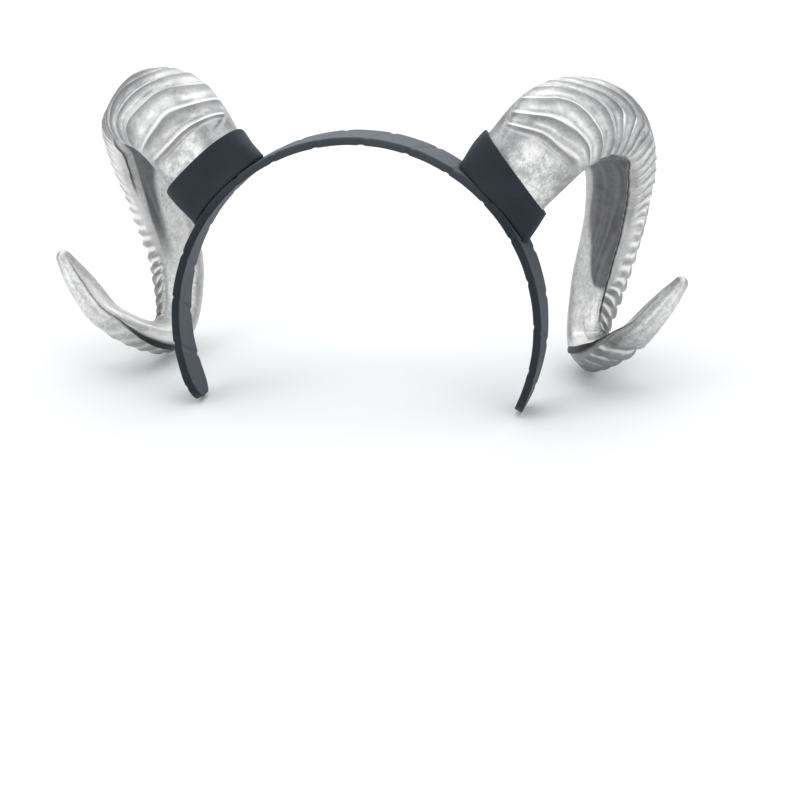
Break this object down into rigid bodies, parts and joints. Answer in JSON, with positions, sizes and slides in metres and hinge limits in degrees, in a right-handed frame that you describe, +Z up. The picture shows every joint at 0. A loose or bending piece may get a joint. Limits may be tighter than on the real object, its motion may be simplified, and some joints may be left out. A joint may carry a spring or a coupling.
{
  "type": "goat horns headband",
  "caption": "Costume headband: a slim tape-wound black hoop that carries ribbed, silver-painted curling goat horns, each rooted in a black cloth cuff.",
  "frame": {"origin": "centre of the bounding box in plan, at the level of the surface that the headband stands on", "axes": "+Z up, +X towards the wearer's left, -Y towards the wearer's front"},
  "size_m": [0.2672, 0.0982, 0.1326],
  "materials": {
    "black_tape": "matte black ribbon tape wound along the hoop with overlapping turns",
    "black_cloth": "matte black woven cloth with a slight blue cast",
    "silver_paint": "satin silver paint, brushed and blotchy, darker in the grooves"
  },
  "bodies": {
    "root": {"headband": "black_tape", "cuff_left": "black_cloth", "cuff_right": "black_cloth", "horn_left": "silver_paint", "horn_right": "silver_paint"}
  },
  "joints": []
}
